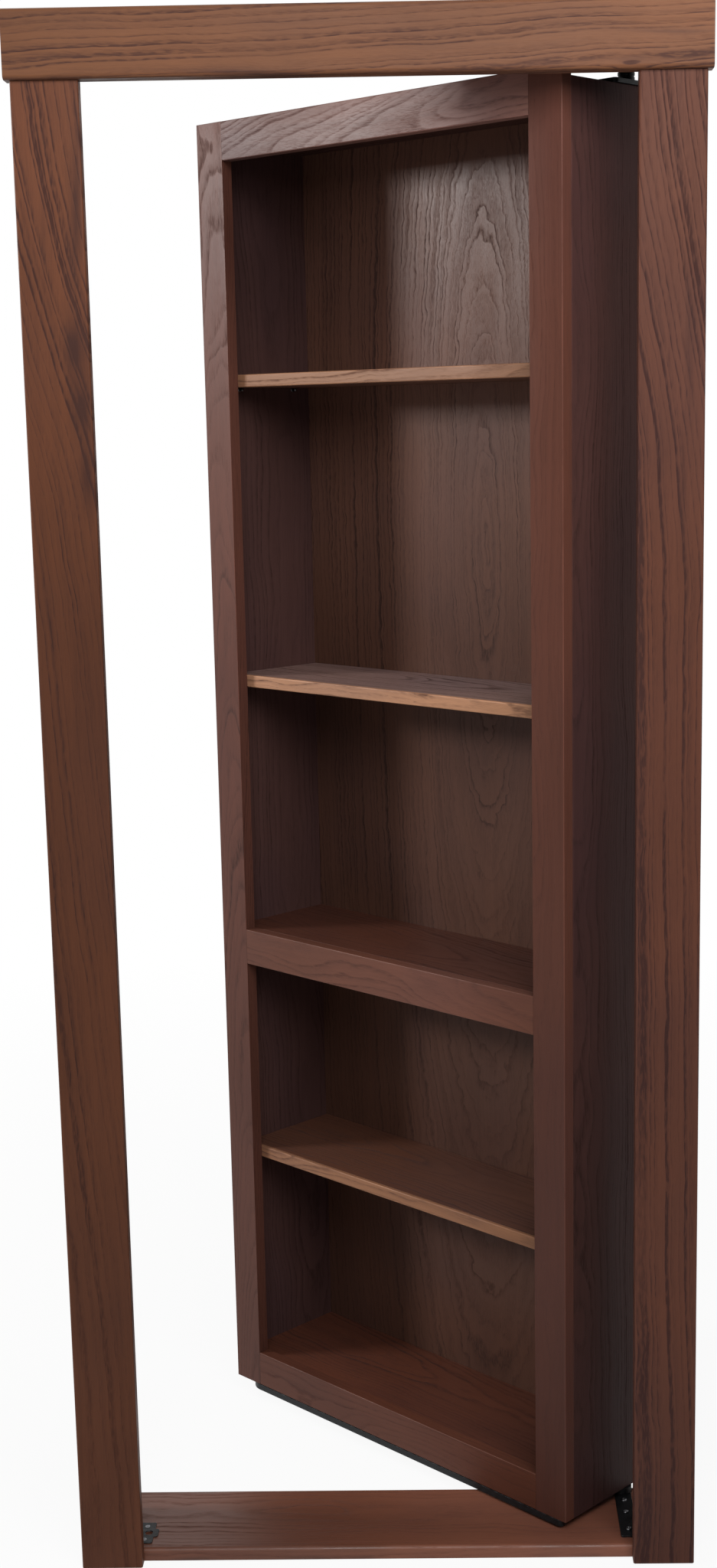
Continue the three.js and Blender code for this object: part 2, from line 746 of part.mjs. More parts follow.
const hiddenDoorBookcase = new THREE.Group();
hiddenDoorBookcase.add(doorFrame, bookcase);

export default hiddenDoorBookcase;
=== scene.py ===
import math

import bmesh
import bpy
from mathutils import Euler, Matrix, Vector


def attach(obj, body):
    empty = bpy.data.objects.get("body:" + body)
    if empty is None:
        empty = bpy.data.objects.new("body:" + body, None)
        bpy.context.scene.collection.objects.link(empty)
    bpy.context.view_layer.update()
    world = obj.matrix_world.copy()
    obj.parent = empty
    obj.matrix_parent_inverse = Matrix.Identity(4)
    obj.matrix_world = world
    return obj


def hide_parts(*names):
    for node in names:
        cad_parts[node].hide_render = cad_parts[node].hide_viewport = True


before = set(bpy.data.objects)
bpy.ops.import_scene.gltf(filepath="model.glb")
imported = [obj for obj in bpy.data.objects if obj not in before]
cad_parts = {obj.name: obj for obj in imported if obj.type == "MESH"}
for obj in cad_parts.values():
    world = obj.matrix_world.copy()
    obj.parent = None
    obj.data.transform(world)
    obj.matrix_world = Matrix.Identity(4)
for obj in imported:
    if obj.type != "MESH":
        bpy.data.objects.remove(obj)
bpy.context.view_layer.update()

# The jambs line the rough opening: two uprights and a head of planed oak, nailed to the studs.
# They are hidden behind the casing and only show from the room behind.
eased_edge = 0.0006
eased_steps = 2
square_corner = math.radians(60)
smooth_below = math.radians(35)


def started(name):
    """The primitive that was just added, named, and with its place put into its mesh."""
    bpy.ops.object.transform_apply(location=True, rotation=True, scale=True)
    piece = bpy.context.object
    piece.name = piece.data.name = name
    return piece


def squared_blank(name, low, high):
    bpy.ops.object.select_all(action="DESELECT")
    middle = [(a + b) / 2 for a, b in zip(low, high)]
    size = [b - a for a, b in zip(low, high)]
    bpy.ops.mesh.primitive_cube_add(size=1, location=middle, scale=size)
    return started(name)


def select_where(piece, kind, chosen):
    """In edit mode, selects the edges or the faces that a rule chooses, and nothing else."""
    bpy.ops.object.mode_set(mode="EDIT")
    bpy.ops.mesh.select_mode(type=kind)
    bpy.ops.mesh.select_all(action="DESELECT")
    mesh = bmesh.from_edit_mesh(piece.data)
    for item in mesh.edges if kind == "EDGE" else mesh.faces:
        if chosen(item):
            item.select_set(True)
    bmesh.update_edit_mesh(piece.data)


def round_over(piece, radius, steps, chosen):
    select_where(piece, "EDGE", chosen)
    bpy.ops.mesh.bevel(offset=radius, segments=steps, affect="EDGES")
    bpy.ops.object.mode_set(mode="OBJECT")


def is_square_corner(edge):
    return edge.calc_face_angle(0) > square_corner


def even_shading(piece):
    bpy.ops.object.shade_smooth_by_angle(angle=smooth_below)
    bpy.ops.object.modifier_add(type="WEIGHTED_NORMAL")
    piece.modifiers[-1].keep_sharp = True
    bpy.ops.object.modifier_apply(modifier=piece.modifiers[-1].name)


def board(name, place, rounded=None, radius=0.0, steps=5, glued=None):
    """A planed board. The rules say which edges are rounded, and which meet a flush glued joint and
    stay sharp. All the others are just eased."""
    piece = squared_blank(name, *place)
    if rounded:
        round_over(piece, radius, steps, rounded)

    def is_eased(edge):
        return is_square_corner(edge) and not (glued and glued(edge))

    round_over(piece, eased_edge, eased_steps, is_eased)
    even_shading(piece)
    return piece


pivot = Vector((0.352, 0.149, 0))
open_angle = math.radians(43.2)
swing_open = (
    Matrix.Translation(pivot) @ Matrix.Rotation(-open_angle, 4, "Z") @ Matrix.Translation(-pivot)
)
swing_shut = swing_open.inverted()
unmoved = Matrix.Identity(4)


def place_of(node, turned=False):
    """The lowest and highest corners of a node, for the bookcase as if it were shut."""
    points = [vertex.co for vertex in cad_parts[node].data.vertices]
    if turned:
        points = [swing_shut @ point for point in points]
    return [[extreme(point[axis] for point in points) for axis in range(3)] for extreme in (min, max)]


def middle_of(place):
    return (Vector(place[0]) + Vector(place[1])) / 2


class FinishNodes:
    """Adds the nodes of a finish. A socket takes a plain value or another node's output."""

    def __init__(self, tree, seed=0):
        self.tree = tree
        self.seed = seed

    def fill(self, node, inputs):
        for key, value in inputs.items():
            if isinstance(value, bpy.types.NodeSocket):
                self.tree.links.new(value, node.inputs[key])
            else:
                node.inputs[key].default_value = value

    def put(self, kind, inputs, out=0, **settings):
        made = self.tree.nodes.new("ShaderNode" + kind)
        for key, value in settings.items():
            setattr(made, key, value)
        self.fill(made, inputs)
        return made.outputs[out]

    def sums(self, operation, first, second=0.0, third=0.0, clamp=False):
        inputs = {0: first, 1: second, 2: third}
        return self.put("Math", inputs, operation=operation, use_clamp=clamp)

    def vectors(self, operation, first, second=(0, 0, 0), third=(0, 0, 0), out="Vector"):
        inputs = {0: first, 1: second, 2: third}
        return self.put("VectorMath", inputs, out, operation=operation)

    def parts(self, vector):
        return self.put("SeparateXYZ", {0: vector}).node.outputs

    def span(self, value, low, high):
        """What runs from 0 to 1 runs from low to high."""
        return self.sums("MULTIPLY_ADD", value, high - low, low)

    def remap(self, value, between, becomes=(0.0, 1.0), curve="LINEAR"):
        """What runs between two values runs from one new value to the other, and stops there."""
        sockets = ("Value", "From Min", "From Max", "To Min", "To Max")
        inputs = dict(zip(sockets, (value, *between, *becomes)))
        return self.put("MapRange", inputs, interpolation_type=curve)

    def fade(self, value, between, becomes=(0.0, 1.0)):
        return self.remap(value, between, becomes, "SMOOTHSTEP")

    def ramp(self, value, stops):
        """Shades of grey at their places from 0 to 1."""
        made = self.put("ValToRGB", {0: value}).node
        elements = made.color_ramp.elements
        while len(elements) < len(stops):
            elements.new(1)
        for element, (position, shade) in zip(elements, stops):
            element.position = position
            element.color = (shade, shade, shade, 1)
        return made.outputs[0]

    def blend(self, share, first, second, how="MIX"):
        first_in, second_in, colour_out = 6, 7, 2
        inputs = {0: share, first_in: first, second_in: second}
        return self.put("Mix", inputs, colour_out, data_type="RGBA", blend_type=how)

    def noise(self, place, wide, long, shift, detail=2.0, out="Fac"):
        """Noise with this many lumps to the metre, wide across the grain and long along it."""
        seeded = (self.seed + shift, self.seed * 1.7 + shift, self.seed * 0.6)
        stretched = self.vectors("MULTIPLY_ADD", place, (wide, wide, long), seeded)
        return self.put("TexNoise", {"Vector": stretched, "Scale": 1.0, "Detail": detail}, out)


def crooked_grain(nodes, local, wander, ripple, choppy):
    """The trunk grew crooked, so the whole grain wanders and ripples along the board."""

    def pushed(reach, **lumps):
        push = nodes.noise(local, out="Color", **lumps)
        return nodes.vectors("MULTIPLY_ADD", push, (reach * 2, reach * 2, 0), (-reach, -reach, 0))

    drift = pushed(wander, wide=4.5, long=2.4, shift=3.1, detail=3.0)
    wobble = pushed(ripple, wide=38, long=choppy, shift=9.4, detail=2.0)
    return nodes.vectors("ADD", nodes.vectors("ADD", drift, wobble), local)


def rings_from_heart(nodes, bent, height, pith, lean, sweep, sweep_by, ring):
    """How many growth rings lie between the log's heart and each point, never quite evenly."""
    aside = nodes.sums("MULTIPLY_ADD", height, lean[0], -pith[0])
    to_heart = nodes.put("CombineXYZ", {
        "X": nodes.sums("ADD", aside, nodes.fade(height, sweep, (0.0, sweep_by))),
        "Y": nodes.sums("MULTIPLY_ADD", height, lean[1], -pith[1]),
        "Z": nodes.sums("MULTIPLY", height, -1.0),
    })
    radius = nodes.vectors("LENGTH", nodes.vectors("ADD", bent, to_heart), out="Value")
    uneven_per_metre, uneven_rings = 95.0, 1.5
    uneven = nodes.put("TexNoise", {
        "W": nodes.sums("MULTIPLY_ADD", radius, uneven_per_metre, nodes.seed), "Scale": 1.0, "Detail": 1.0,
    }, noise_dimensions="1D")
    even_count = nodes.sums("DIVIDE", radius, ring)
    return nodes.sums("ADD", even_count, nodes.sums("MULTIPLY", uneven, uneven_rings))


def soft_spot(nodes, across, height, middle_across, middle_along, half_across, half_along):
    """1 at the middle of an oval on the face, and fading to nothing round it."""
    off_across = nodes.sums("MULTIPLY", nodes.sums("SUBTRACT", across, middle_across), 1 / half_across)
    off_along = nodes.sums("MULTIPLY", nodes.sums("SUBTRACT", height, middle_along), 1 / half_along)
    across_squared = nodes.sums("MULTIPLY", off_across, off_across)
    along_squared = nodes.sums("MULTIPLY", off_along, off_along)
    apart = nodes.sums("ADD", across_squared, along_squared)
    return nodes.sums("EXPONENT", nodes.sums("MULTIPLY", apart, -1.0))


cool_stain = (0.72, 0.8, 1.0, 1)
end_grain = 0.0005


def stained_oak(name, place, grain, face, pale, dark, pith, lean=(0, 0), seed=0, ring=0.005,
                figure=(0.8, 0.8), wander=0.024, ripple=0.002, choppy=11, streaky=0.5,
                knots=(), smudges=(), painted_light_ends=(1, 1), painted_light_over=(-1, 1), sweep=(0, 1), sweep_by=0.0,
                edge_band_width=0.0026, edge_wear_and_painted_light=0.35, turned=False,
                rough=0.4, dull_rings=0.26, gloss=0.14):
    """Solid oak, sawn from a log whose heart runs beside the board. Pith is the heart's place from
    the board's middle, across the face and into it, and lean is how far it strays per metre.
    Figure is how strong the rings are at the board's two ends. The wood is also painted
    lighter or darker from one end to the other, as painted light and shade.
    Between the two heights of sweep, in metres from the middle, the rings drift across the board
    by sweep_by. A knot, or a smudge where the stain took darker, is its place across and along the
    face, its two half sizes and its strength."""
    along, into = "XYZ".index(grain), "XYZ".index(face)
    across = 3 - along - into
    middle = middle_of(place)
    half = Vector(place[1]) - middle
    material = bpy.data.materials.new(name)
    material.use_nodes = True
    nodes = FinishNodes(material.node_tree, seed)
    sums, span, fade, noise = nodes.sums, nodes.span, nodes.fade, nodes.noise

    to_board = Matrix.Translation(-middle) @ (swing_shut if turned else unmoved)
    spot = nodes.parts(nodes.put("Mapping", {
        "Vector": nodes.put("TexCoord", {}, "Object"),
        "Location": to_board.translation,
        "Rotation": to_board.to_euler(),
    }))
    off_side, off_face, height = spot[across], spot[into], spot[along]
    local = nodes.put("CombineXYZ", {"X": off_side, "Y": off_face, "Z": height})
    bent = crooked_grain(nodes, local, wander, ripple, choppy)
    bent_across = nodes.parts(bent)["X"]

    # A year starts with porous spring wood, which takes the stain darker, in some years more.
    count = rings_from_heart(nodes, bent, height, pith, lean, sweep, sweep_by, ring)
    for *where, added in knots:
        count = sums("MULTIPLY_ADD", soft_spot(nodes, bent_across, height, *where), added, count)
    whole_year = sums("ADD", sums("FLOOR", count), seed)
    year = nodes.put("TexWhiteNoise", {"W": whole_year}, noise_dimensions="1D")
    spring_wood = nodes.ramp(sums("FRACT", count), [
        (0.0, 0.0), (0.08, 0.8), (0.17, 1.0), (0.36, 0.4), (0.66, 0.08), (1.0, 0.0),
    ])
    patches = fade(noise(local, wide=14, long=3.2, shift=21.3, detail=3.0), (0.3, 0.6), (0.4, 1.1))
    dashes = fade(noise(bent, wide=420, long=60, shift=33.3, detail=1.0), (0.35, 0.6), (0.5, 1.25))
    rings = sums("MULTIPLY", spring_wood, span(year, 0.27, 1.12))
    rings = sums("MULTIPLY", sums("MULTIPLY", rings, patches), dashes)
    figured = fade(height, (-half[along], half[along]), figure)

    # Pores are short dark dashes, thickest in the spring wood, and fibres are long faint streaks.
    pores = nodes.ramp(noise(bent, wide=1300, long=70, shift=5.5, detail=1.0), [(0.54, 0.0), (0.68, 1.0)])
    pores = sums("MULTIPLY", pores, span(spring_wood, 0.3, 1.0))
    fibres = noise(bent, wide=520, long=4.0, shift=2.2, detail=3.0)
    streaks = noise(bent, wide=130, long=2.4, shift=17.7, detail=3.0)
    tone = sums("ADD", sums("MULTIPLY", rings, figured), sums("MULTIPLY", pores, 0.3))
    tone = sums("ADD", tone, span(fibres, -0.2, 0.2))
    for *where, added in smudges:
        tone = sums("MULTIPLY_ADD", soft_spot(nodes, bent_across, height, *where), added, tone)
    tone = sums("ADD", tone, span(streaks, -0.4 * streaky, 0.6 * streaky), clamp=True)
    wood = nodes.blend(tone, (*pale, 1), (*dark, 1))

    # End grain drinks more stain. A band along the long edges is painted paler, partly as sanding
    # wear and partly as a painted highlight; a negative amount paints it darker, as painted shade.
    end = fade(sums("ABSOLUTE", height), (half[along] - end_grain, half[along] - end_grain / 5))
    beside = sums("SUBTRACT", half[across], sums("ABSOLUTE", off_side))
    inward = sums("SUBTRACT", half[into], sums("ABSOLUTE", off_face))
    rubbed = fade(sums("MAXIMUM", beside, inward), (edge_band_width * 0.12, edge_band_width), (1.0, 0.0))
    edge_band_patches = fade(noise(local, wide=30, long=12, shift=40.1), (0.35, 0.7))
    rubbed = sums("MULTIPLY", rubbed, edge_band_patches)
    value = span(noise(local, wide=9, long=3.5, shift=14.8, detail=3.0), 0.78, 1.22)
    value = sums("MULTIPLY_ADD", rubbed, edge_wear_and_painted_light, value)
    value = sums("MULTIPLY", value, span(end, 1.0, 0.65))
    # Painted light and shade: the wood is painted lighter or darker from one end to the other.
    painted_light_heights = [share * half[along] for share in painted_light_over]
    value = sums("MULTIPLY", value, fade(height, painted_light_heights, painted_light_ends))
    cool_patches = fade(noise(local, wide=5, long=3, shift=27.1), (0.4, 0.7), (0.0, 0.45))
    tinted = nodes.blend(cool_patches, wood, cool_stain, "MULTIPLY")
    colour = nodes.put("HueSaturation", {"Value": value, "Color": tinted})

    # The oil lies unevenly: duller on the porous rings, shinier where an edge is rubbed.
    uneven_oil = noise(local, wide=26, long=5, shift=31.0, detail=3.0)
    sheen = span(uneven_oil, rough - 0.08, rough + 0.08)
    sheen = sums("MULTIPLY_ADD", rings, dull_rings, sheen)
    sheen = sums("MULTIPLY_ADD", rubbed, -0.16, sheen)
    relief = sums("MULTIPLY_ADD", fibres, 0.3, sums("MULTIPLY", rings, -0.8))
    relief = sums("MULTIPLY_ADD", pores, -0.8, relief)
    nodes.fill(material.node_tree.nodes["Principled BSDF"], {
        "Base Color": colour,
        "Roughness": sums("MULTIPLY_ADD", pores, 0.12, sheen),
        "Specular IOR Level": gloss,
        "Normal": nodes.put("Bump", {"Strength": 0.35, "Distance": 0.00025, "Height": relief}),
    })
    return material


def dress(piece, material, body, node):
    piece.data.materials.clear()
    piece.data.materials.append(material)
    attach(piece, body)
    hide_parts(node)


jambs = {
    "left_jamb": dict(grain="Z", face="X", pith=(0.02, 0.06), seed=1.3, rough=0.42, gloss=0.12),
    "right_jamb": dict(grain="Z", face="X", pith=(-0.015, 0.07), seed=2.9, rough=0.42, gloss=0.12),
    "head_jamb": dict(grain="X", face="Z", pith=(0.01, 0.08), seed=4.4, rough=0.66, gloss=0.04),
}
for node, look in jambs.items():
    place = place_of(node)
    piece = board(node + "_board", place)
    wood = stained_oak(
        node + "_oak", place, pale=(0.13, 0.056, 0.036), dark=(0.05, 0.019, 0.013), lean=(0.01, 0.01), **look,
    )
    dress(piece, wood, "door_frame", node)

# The sill is a wide oak board on the floor between the jambs. Its front edge is rounded over and
# rubbed shiny by feet, and the pivot bar and strike plate are screwed to it.
sill_round = 0.007
long_edge = 0.05
same_place = 1e-5
sill_place = place_of("sill")
sill_top = sill_place[1][2]


def runs_along(edge, axis):
    first, second = [vertex.co for vertex in edge.verts]
    return abs(first[axis] - second[axis]) > long_edge


def lies_at(edge, axis, level):
    return all(abs(vertex.co[axis] - level) < same_place for vertex in edge.verts)


def front_edges(place, grain):
    """The rule for the edges of a board's front face that run with its grain."""
    along, front = "XYZ".index(grain), place[0][1]
    return lambda edge: runs_along(edge, along) and lies_at(edge, 1, front)


def is_sill_nose(edge):
    return front_edges(sill_place, "X")(edge) and lies_at(edge, 2, sill_top)


sill = board("sill_board", sill_place, is_sill_nose, sill_round, 8)
# Painted shade darkens the rounded nose, and painted light makes the sill lighter to the right.
sill_wood = stained_oak(
    "sill_oak", sill_place, "X", "Z", pale=(0.196, 0.071, 0.0405), dark=(0.082, 0.03, 0.0195),
    pith=(0.02, -0.09), lean=(0.03, 0.01), seed=7.7, figure=(0.5, 0.3), streaky=0.35,
    painted_light_ends=(0.78, 1.34), edge_band_width=0.01, edge_wear_and_painted_light=-0.3, rough=0.36, gloss=0.31,
)
dress(sill, sill_wood, "door_frame", "sill")

# The casing covers the joint between jambs and wall: two flat legs with softened front edges, each
# a flat-sawn board, and a thicker header that rests on them and stands out at the front and ends.
leg_round = 0.003
header_round = 0.006
# Painted light and shade: the legs are painted darker towards the floor, the header at its left end.
casing = {
    "left_casing": (leg_round, dict(
        grain="Z", pale=(0.138, 0.049, 0.0245), dark=(0.056, 0.023, 0.017), pith=(-0.12, 0.04),
        lean=(0.09, 0.02), seed=11.2, ring=0.0105, figure=(0.3, 1.25), painted_light_ends=(0.79, 1.17),
        painted_light_over=(0.2, 1.0), sweep=(0.45, 0.98), sweep_by=0.075,
        smudges=(
            (0.03, 0.695, 0.013, 0.034, 0.9), (0.034, 0.62, 0.011, 0.032, 0.9),
            (0.037, 0.53, 0.009, 0.045, 0.8), (0.033, 0.87, 0.007, 0.09, 0.8),
            (-0.008, 0.83, 0.005, 0.06, 0.3),
        ),
    )),
    "right_casing": (leg_round, dict(
        grain="Z", pale=(0.13, 0.0475, 0.0285), dark=(0.056, 0.0225, 0.0175), pith=(-0.11, 0.05),
        lean=(0.03, 0.02), seed=5.1, ring=0.0082, figure=(1.15, 1.2), painted_light_ends=(0.86, 1.08),
        sweep=(0.4, 1.1), sweep_by=0.07,
        smudges=(
            (0.02, 0.68, 0.005, 0.1, 0.35), (0.012, 0.5, 0.004, 0.07, 0.35),
            (-0.01, -0.95, 0.04, 0.1, 0.2),
        ),
    )),
    "header_casing": (header_round, dict(
        grain="X", pale=(0.21, 0.086, 0.041), dark=(0.086, 0.038, 0.027), pith=(-0.08, 0.035),
        lean=(-0.03, 0.03), seed=8.6, ring=0.0088, figure=(1.15, 1.3), painted_light_ends=(0.88, 1.07),
        knots=((-0.053, 0.345, 0.017, 0.036, 2.2),),
        smudges=(
            (-0.037, -0.13, 0.004, 0.08, 0.6), (0.003, 0.4, 0.004, 0.06, 0.5),
            (-0.045, -0.38, 0.004, 0.1, 0.6), (-0.034, 0.345, 0.005, 0.028, 0.45),
        ),
    )),
}
for node, (radius, look) in casing.items():
    place = place_of(node)
    piece = board(node + "_board", place, front_edges(place, look["grain"]), radius)
    wood = stained_oak(
        node + "_oak", place, face="Y", wander=0.014, ripple=0.0024, choppy=18, gloss=0.1, **look,
    )
    dress(piece, wood, "door_frame", node)

# The lower pivot is a flat bar of black steel on the sill, round at the rear, with a turned pin
# pressed through it. Three pan-head screws with crossed slots hold it to the wood.
pin_radius = 0.005
broken_edge = 0.0004
tight_hole, hole_mouth = 0.0052, 0.0006
bar_front_corner, bar_rear_corner = 0.003, 0.012
bar_place = place_of("sill_pivot_bar")
bar_top = bar_place[1][2]


def pick(piece):
    bpy.ops.object.select_all(action="DESELECT")
    piece.select_set(True)
    bpy.context.view_layer.objects.active = piece


def settle(piece, placing):
    """Puts a piece in its place, and the place into its mesh."""
    pick(piece)
    piece.matrix_world = placing
    bpy.ops.object.transform_apply(location=True, rotation=True, scale=True)


def turn_outwards():
    """In edit mode, turns all faces outwards, and then leaves it."""
    bpy.ops.mesh.select_all(action="SELECT")
    bpy.ops.mesh.normals_make_consistent(inside=False)
    bpy.ops.object.mode_set(mode="OBJECT")


def lathe(name, steps, centre, sides=40):
    """Turned on a lathe: a disc drawn up along Z from one radius and height to the next. Heights
    are measured from the centre."""
    radius, height = steps[0]
    bpy.ops.object.select_all(action="DESELECT")
    bpy.ops.mesh.primitive_circle_add(
        vertices=sides, radius=radius, fill_type="NGON", location=(0, 0, height),
    )
    piece = started(name)
    bpy.ops.object.mode_set(mode="EDIT")
    bpy.ops.mesh.select_all(action="SELECT")
    for next_radius, next_height in steps[1:]:
        rise = next_height - height
        grow = next_radius / radius
        bpy.ops.mesh.extrude_region_move(TRANSFORM_OT_translate={"value": (0, 0, rise)})
        bpy.ops.transform.resize(value=(grow, grow, 1), center_override=(0, 0, next_height))
        radius, height = next_radius, next_height
    turn_outwards()
    bpy.ops.object.shade_smooth_by_angle(angle=smooth_below)
    settle(piece, Matrix.Translation(centre))
    return piece


def cut_away(piece, tool):
    pick(piece)
    bpy.ops.object.modifier_add(type="BOOLEAN")
    cut = piece.modifiers[-1]
    cut.operation = "DIFFERENCE"
    cut.solver = "EXACT"
    cut.object = tool
    bpy.ops.object.modifier_apply(modifier=cut.name)
    bpy.data.objects.remove(tool)
    even_shading(piece)


def drill(piece, steps, centre, sides=40):
    cut_away(piece, lathe("drill", steps, centre, sides))


def arc(x, y, radius, start, end, steps=8):
    angles = [math.radians(start + (end - start) * step / steps) for step in range(steps + 1)]
    return [(x + radius * math.cos(angle), y + radius * math.sin(angle)) for angle in angles]


def four_corners(place, front_radius, rear_radius):
    (left, front, _), (right, rear, _) = place
    return (
        arc(left + front_radius, front + front_radius, front_radius, 180, 270)
        + arc(right - front_radius, front + front_radius, front_radius, 270, 360)
        + arc(right - rear_radius, rear - rear_radius, rear_radius, 0, 90)
        + arc(left + rear_radius, rear - rear_radius, rear_radius, 90, 180)
    )


def is_rim(edge):
    return lies_at(edge, 2, edge.verts[0].co.z)


def cut_plate(name, outline, place):
    """Steel plate cut to an outline, as thick as its place is high, with its edges just broken."""
    low, high = place[0][2], place[1][2]
    bpy.ops.object.select_all(action="DESELECT")
    bpy.ops.mesh.primitive_circle_add(
        vertices=len(outline), radius=1, fill_type="NGON", location=(0, 0, low),
    )
    plate = started(name)
    for vertex, (x, y) in zip(plate.data.vertices, outline):
        vertex.co.x, vertex.co.y = x, y
    bpy.ops.object.mode_set(mode="EDIT")
    bpy.ops.mesh.select_all(action="SELECT")
    bpy.ops.mesh.extrude_region_move(TRANSFORM_OT_translate={"value": (0, 0, high - low)})
    turn_outwards()
    round_over(plate, broken_edge, 2, is_rim)
    even_shading(plate)
    return plate


mottles_per_metre, pits_per_metre = 160.0, 2600.0
worn_width = 0.0007
even_noise = (0.3, 0.7)


def metal(name, colour, worn_colour, rough, coated=False, grime=0.3, brushed=(1, 1, 1), gloss=0.5):
    """A metal finish: mottled, finely pitted, and rubbed bright along its edges. A coat of black
    hides the metal except where it is rubbed through."""
    material = bpy.data.materials.new(name)
    material.use_nodes = True
    nodes = FinishNodes(material.node_tree)
    place = nodes.put("Mapping", {"Vector": nodes.put("TexCoord", {}, "Object"), "Scale": brushed})
    cloud = nodes.put("TexNoise", {"Vector": place, "Scale": mottles_per_metre, "Detail": 4.0})
    pits = nodes.put("TexNoise", {"Vector": place, "Scale": pits_per_metre, "Detail": 2.0})
    eased = nodes.put("Bevel", {"Radius": worn_width})
    square = nodes.put("NewGeometry", {}, "Normal")
    edge = nodes.remap(nodes.vectors("DOT_PRODUCT", eased, square, out="Value"), (0.99, 0.86))
    worn = nodes.sums("MULTIPLY", edge, nodes.remap(cloud, (0.45, 0.62), (0.0, 0.8)))
    base = nodes.blend(worn, (*colour, 1), (*worn_colour, 1))
    shade = nodes.remap(cloud, even_noise, (1 - grime, 1 + grime))
    nodes.fill(material.node_tree.nodes["Principled BSDF"], {
        "Base Color": nodes.put("HueSaturation", {"Value": shade, "Color": base}),
        "Metallic": worn if coated else 1.0,
        "Roughness": nodes.remap(cloud, even_noise, (rough - 0.1, rough + 0.12)),
        "Specular IOR Level": gloss,
        "Normal": nodes.put("Bump", {"Strength": 0.25, "Distance": 0.00008, "Height": pits}),
    })
    return material


black_steel = metal(
    "black_steel", (0.007, 0.0072, 0.008), (0.26, 0.26, 0.27), rough=0.42, coated=True, gloss=0.2,
)
dull_zinc = metal("dull_zinc", (0.2, 0.2, 0.21), (0.5, 0.5, 0.52), rough=0.38)
turned_steel = metal(
    "turned_steel", (0.16, 0.16, 0.165), (0.4, 0.4, 0.42), rough=0.3, grime=0.2, brushed=(1, 1, 8),
)


def on_pivot(height):
    return pivot.x, pivot.y, height


bar = cut_plate(
    "sill_pivot_bar_plate", four_corners(bar_place, bar_front_corner, bar_rear_corner), bar_place,
)
drill(bar, [
    (tight_hole, -0.004), (tight_hole, -broken_edge),
    (tight_hole + hole_mouth, 0.0002), (tight_hole + hole_mouth, 0.002),
], on_pivot(bar_top))
dress(bar, black_steel, "door_frame", "sill_pivot_bar")

lower_pin = lathe("lower_pivot_pin_turned", [
    (0.0046, 0.0001), (pin_radius, 0.0005), (pin_radius, 0.0121), (0.0044, 0.0128), (0.0012, 0.013),
], on_pivot(sill_top))
dress(lower_pin, turned_steel, "door_frame", "lower_pivot_pin")

point_radius, thread_start, plain_neck = 0.0002, 0.003, 0.0026
thread_root, thread_crest, thread_pitch = 0.0015, 0.00195, 0.0016
slot_half_length, slot_half_width, slot_depth, slot_taper = 0.0021, 0.00045, 0.0013, 0.6


def wood_screw(name, length, head, scale=1.0):
    """A screw with its point down and its head's underside at Z = 0, with a crossed slot."""
    root, crest = thread_root * scale, thread_crest * scale
    first_thread, head_top = thread_start - length, head[-1][1]
    steps = [(point_radius, -length), (root * 0.8, first_thread - broken_edge)]
    turns = int((length - thread_start - plain_neck) / thread_pitch)
    for turn in range(turns):
        at = first_thread + turn * thread_pitch
        steps += [(root, at), (crest, at + thread_pitch * 0.45), (root, at + thread_pitch * 0.9)]
    steps += [(crest, first_thread + turns * thread_pitch + broken_edge)]
    screw = lathe(name, steps + head, (0, 0, 0), 24)
    for half_x, half_y in ((slot_half_length, slot_half_width), (slot_half_width, slot_half_length)):
        low = (-half_x * scale, -half_y * scale, head_top - slot_depth * scale)
        high = (half_x * scale, half_y * scale, head_top + 0.001)
        slot = squared_blank("slot", low, high)
        select_where(slot, "FACE", lambda face: face.normal.z < -0.5)
        bpy.ops.transform.resize(value=(slot_taper, slot_taper, 1), center_override=(0, 0, low[2]))
        bpy.ops.object.mode_set(mode="OBJECT")
        cut_away(screw, slot)
    return screw


def set_copy(model, name, place, aim=unmoved, turned=False):
    """A copy of the model with a mesh of its own, aimed and put in its place."""
    pick(model)
    bpy.ops.object.duplicate(linked=False)
    copy = bpy.context.object
    copy.name = copy.data.name = name
    settle(copy, (swing_open if turned else unmoved) @ Matrix.Translation(place) @ aim)
    return copy


def seat_of(node, height, turned=False):
    middle = middle_of(place_of(node, turned))
    return middle.x, middle.y, height


def set_screw(model, node, head, height, turn, body, aim=unmoved):
    """A copy of the model screw on its node's axis, its slot turned as the driver left it."""
    turned = body == "bookcase"
    slot_turn = Matrix.Rotation(math.radians(turn), 4, "Z")
    screw = set_copy(model, f"{node}_{head}", seat_of(node, height, turned), aim @ slot_turn, turned)
    dress(screw, dull_zinc, body, node)


pan_head = [
    (0.0021, -0.0001), (0.0039, 0), (0.004, 0.0003), (0.004, 0.0011), (0.0038, 0.0017),
    (0.0033, 0.0021), (0.0024, 0.0023), (0.0013, 0.0024),
]
pan_top = pan_head[-1][1]
short_screw = wood_screw("short_screw", 0.017, pan_head)
for number, turn in enumerate((20, 64, 41), 1):
    set_screw(short_screw, f"bar_screw_{number}", "pan", bar_top, turn, "door_frame")

# The upper pivot hangs under the head jamb: a black steel plate with round corners, two screws
# driven up into the wood, and a turned pin that drops into the bearing on top of the case.
plate_corner = 0.006
point_up = Matrix.Rotation(math.pi, 4, "X")
head_place = place_of("head_pivot_plate")
head_underside = head_place[0][2]
pin_end = place_of("upper_pivot_pin")[0][2]
head_plate = cut_plate(
    "head_pivot_plate_steel", four_corners(head_place, plate_corner, plate_corner), head_place,
)
dress(head_plate, black_steel, "door_frame", "head_pivot_plate")
upper_pin = lathe("upper_pivot_pin_turned", [
    (0.0012, 0), (0.0042, 0.0002), (pin_radius, 0.001), (pin_radius, 0.0215), (0.0046, 0.0219),
], on_pivot(pin_end))
dress(upper_pin, turned_steel, "door_frame", "upper_pivot_pin")
for number, turn in enumerate((12, 73), 1):
    set_screw(short_screw, f"head_plate_screw_{number}", "pan", head_underside, turn, "door_frame", point_up)
bpy.data.objects.remove(short_screw)

